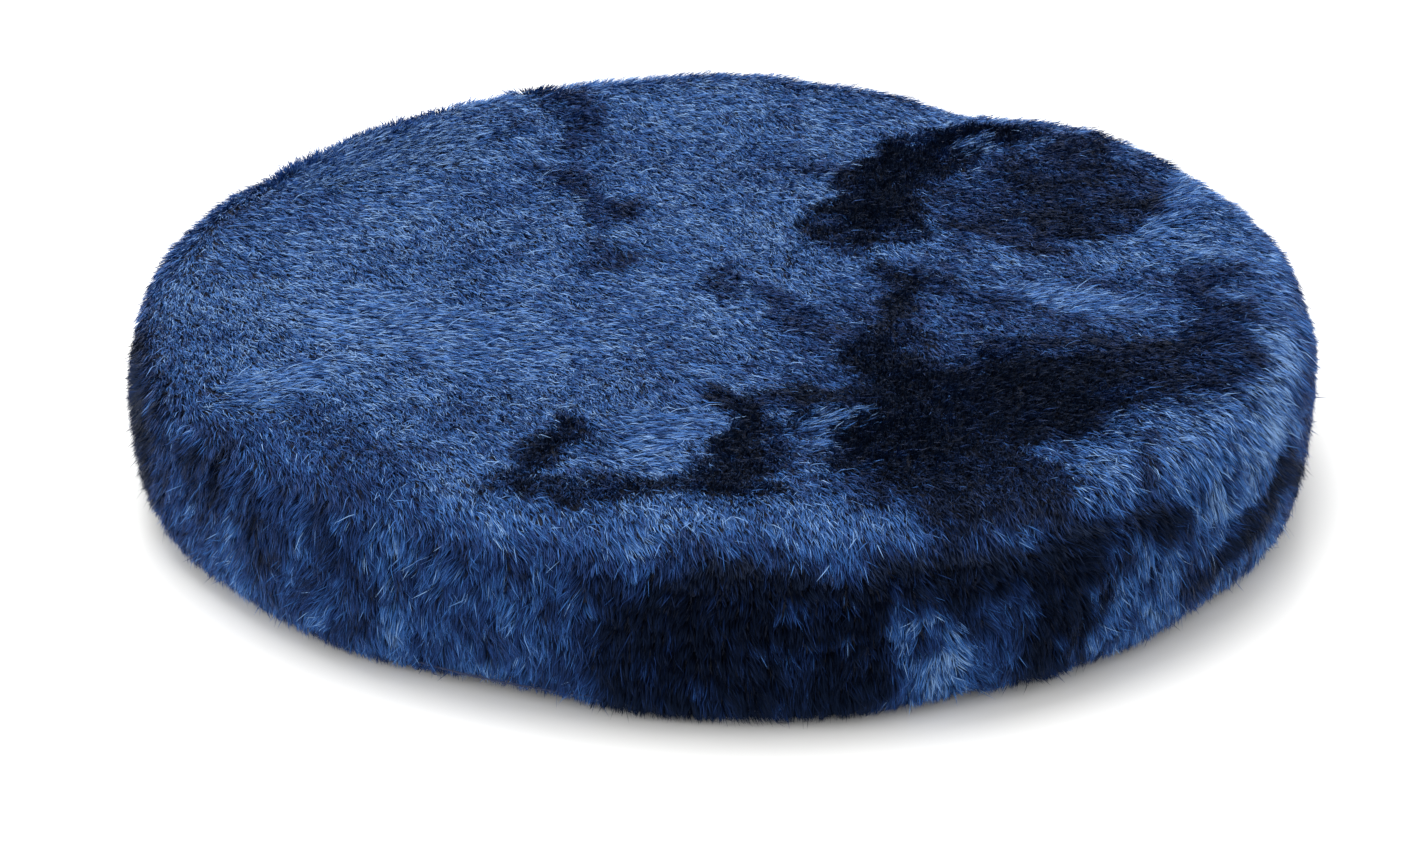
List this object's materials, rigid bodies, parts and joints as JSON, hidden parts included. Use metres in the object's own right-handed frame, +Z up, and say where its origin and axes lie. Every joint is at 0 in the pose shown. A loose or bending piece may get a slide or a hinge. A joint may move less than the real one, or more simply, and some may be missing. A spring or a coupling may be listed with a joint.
{
  "type": "seat cushion",
  "caption": "Round, flat-based seat cushion covered in deep plush, with a foam core in a liner and a zip round the back of the cover.",
  "frame": {"origin": "centre of the cushion's flat base, on the surface that it lies on", "axes": "+Z up through the middle of the cushion, +Y towards the back, where the zip is"},
  "size_m": [0.38, 0.3798, 0.065],
  "materials": {
    "plush": "deep polyester plush with a directional sheen",
    "base_cloth": "plain woven polyester with small grip dots",
    "foam": "open-cell polyurethane foam",
    "wadding": "polyester fibre wadding",
    "liner": "non-woven polypropylene",
    "thread": "spun polyester thread",
    "zip_tape": "woven polyester tape",
    "zip_coil": "nylon coil",
    "zip_metal": "nickel-plated zinc",
    "label": "blank woven satin"
  },
  "bodies": {
    "cushion": {"foam_core": "foam", "top_wadding": "wadding", "liner_cap": "liner", "liner_base": "liner", "cover_top_panel": "plush", "cover_front_band": "plush", "cover_upper_strip": "plush", "cover_lower_strip": "plush", "cover_base_panel": "base_cloth", "top_seam_thread": "thread", "mid_seam_thread_left": "thread", "mid_seam_thread_right": "thread", "base_seam_thread": "thread", "zip_tape_upper": "zip_tape", "zip_tape_lower": "zip_tape", "zip_coil_upper": "zip_coil", "zip_coil_lower": "zip_coil", "zip_top_stop_upper": "zip_metal", "zip_top_stop_lower": "zip_metal", "zip_bottom_stop": "zip_metal", "care_label": "label"},
    "slider": {"zip_slider": "zip_metal"},
    "pull": {"zip_pull": "zip_metal"}
  },
  "joints": [
    {"name": "zip_slide", "type": "hinge", "parent": "cushion", "child": "slider", "pos_m": [0, 0, 0.034], "axis": [0, 0, 1], "range_deg": [0, 141]},
    {"name": "zip_pull_swing", "type": "hinge", "parent": "slider", "child": "pull", "pos_m": [0.17725, 0.05419, 0.034], "axis": [0, 0, -1], "range_deg": [0, 165]}
  ]
}
